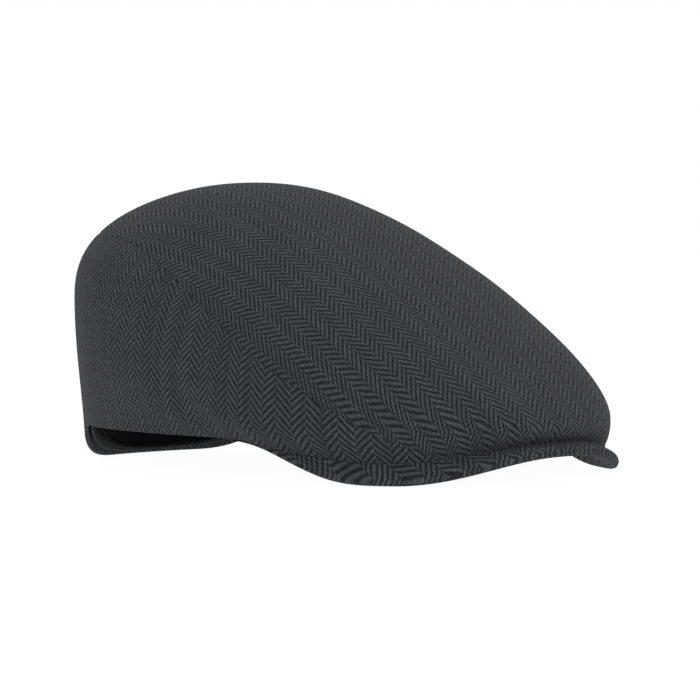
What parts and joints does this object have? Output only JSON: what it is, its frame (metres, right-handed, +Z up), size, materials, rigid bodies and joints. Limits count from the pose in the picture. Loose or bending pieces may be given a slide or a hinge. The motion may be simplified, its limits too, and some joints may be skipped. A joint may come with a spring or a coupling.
{
  "type": "flat cap",
  "caption": "Herringbone wool flat cap: one-piece top panel over two side panels, sewn down to a short curved brim, with satin lining and a sweatband.",
  "frame": {"origin": "on the table under the middle of the cap's box, which is also its plane of symmetry", "axes": "+Z up, -Y towards the brim, +X to the wearer's left"},
  "size_m": [0.1808, 0.2395, 0.1177],
  "materials": {
    "herringbone_wool": "charcoal herringbone wool, matt with a faint nap",
    "brim_board": "smooth flexible sheet",
    "interlining": "non-woven felt",
    "tape": "ribbed cotton tape",
    "satin_lining": "black satin",
    "sweatband": "black cotton twill",
    "label": "plain woven label, blank"
  },
  "bodies": {
    "root": {"top_panel": "herringbone_wool", "side_panel_left": "herringbone_wool", "side_panel_right": "herringbone_wool", "brim_top_cover": "herringbone_wool", "brim_under_cover": "herringbone_wool", "brim_board": "brim_board", "crown_interlining": "interlining", "hem_tape": "tape", "back_seam_tape": "tape", "lining_top": "satin_lining", "lining_side_left": "satin_lining", "lining_side_right": "satin_lining", "sweatband": "sweatband", "size_label": "label", "lining_label": "label"}
  },
  "joints": []
}
